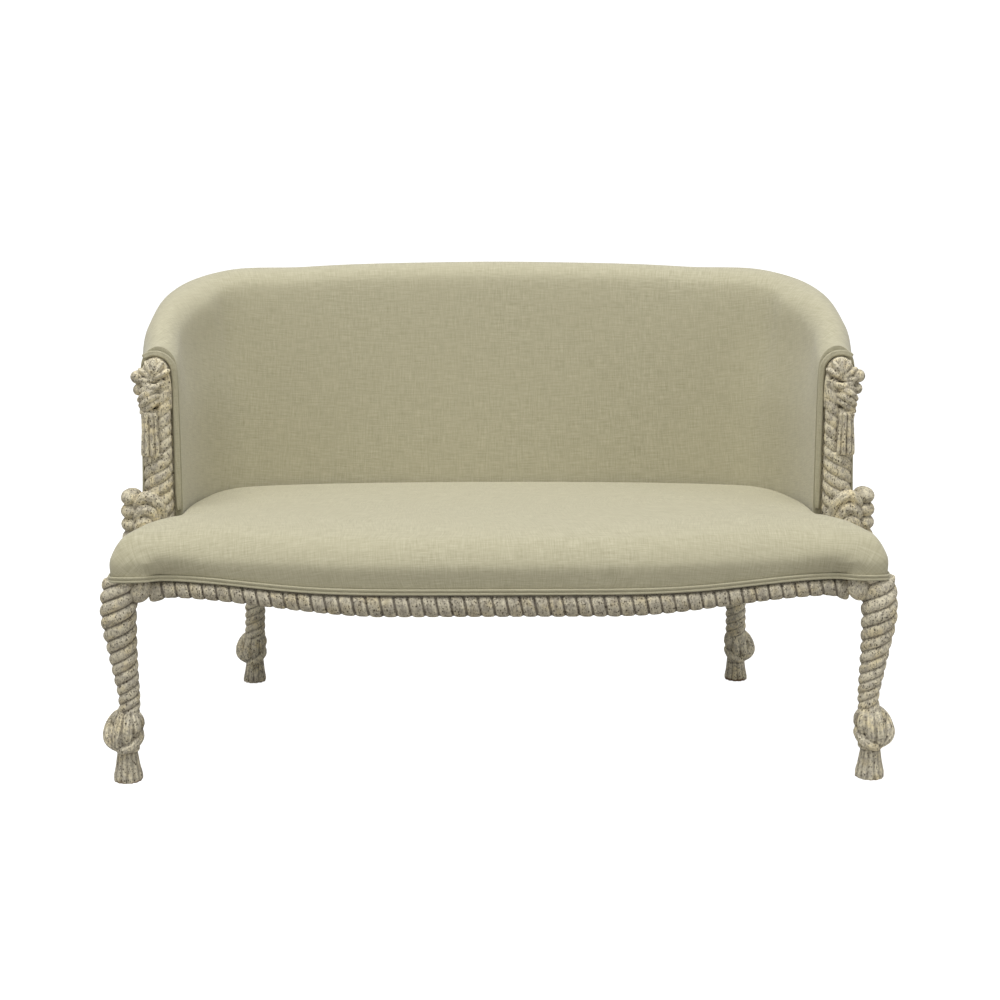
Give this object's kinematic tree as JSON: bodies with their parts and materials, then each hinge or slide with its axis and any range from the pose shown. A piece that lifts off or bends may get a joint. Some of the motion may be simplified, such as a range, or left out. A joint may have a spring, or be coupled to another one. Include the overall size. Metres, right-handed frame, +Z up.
{
  "type": "cabriole sofa",
  "caption": "Small upholstered cabriole sofa with a curved, rolled back, a tight seat, and painted legs and arm posts carved as knotted rope with tassel feet.",
  "frame": {"origin": "on the floor, at the middle of the width and of the depth of the whole sofa", "axes": "+X to the right as seen from the front, +Y to the back, so the seat looks along -Y, +Z up"},
  "size_m": [1.3836, 0.7338, 0.885],
  "materials": {
    "painted_wood": "distressed cream paint over carved wood, with dark pits and greyish grooves",
    "bare_wood": "plain sawn hardwood, hidden by the covers",
    "screws": "plain zinc-coated steel",
    "webbing": "woven jute webbing",
    "burlap": "loose jute cloth",
    "padding": "upholstery foam, hidden by the covers",
    "linen": "sage-beige linen with slubs, matt",
    "dust_cloth": "thin light grey cloth, matt"
  },
  "bodies": {
    "root": {"arm_post_left": "painted_wood", "arm_post_right": "painted_wood", "arm_rail_left": "bare_wood", "arm_rail_right": "bare_wood", "arm_welt_left": "linen", "arm_welt_right": "linen", "back_burlap": "burlap", "back_post_left": "bare_wood", "back_post_right": "bare_wood", "back_rail": "painted_wood", "back_upright": "bare_wood", "crest_rail": "bare_wood", "cross_strap_1": "webbing", "cross_strap_2": "webbing", "cross_strap_3": "webbing", "dust_cover": "dust_cloth", "front_block_screw_lower_left": "screws", "front_block_screw_lower_right": "screws", "front_block_screw_upper_left": "screws", "front_block_screw_upper_right": "screws", "front_corner_block_left": "bare_wood", "front_corner_block_right": "bare_wood", "front_leg_left": "painted_wood", "front_leg_right": "painted_wood", "front_rail": "painted_wood", "inside_back_cover": "linen", "inside_back_foam": "padding", "lower_arm_rail_left": "bare_wood", "lower_arm_rail_right": "bare_wood", "outside_back_cover": "linen", "rear_block_screw_lower_left": "screws", "rear_block_screw_lower_right": "screws", "rear_block_screw_upper_left": "screws", "rear_block_screw_upper_right": "screws", "rear_corner_block_left": "bare_wood", "rear_corner_block_right": "bare_wood", "rear_leg_left": "painted_wood", "rear_leg_right": "painted_wood", "seat_burlap": "burlap", "seat_cover": "linen", "seat_foam": "padding", "seat_strap_1": "webbing", "seat_strap_2": "webbing", "seat_strap_3": "webbing", "seat_strap_4": "webbing", "seat_strap_5": "webbing", "seat_welt": "linen", "side_rail_left": "painted_wood", "side_rail_right": "painted_wood", "stay_rail": "bare_wood"}
  },
  "joints": []
}
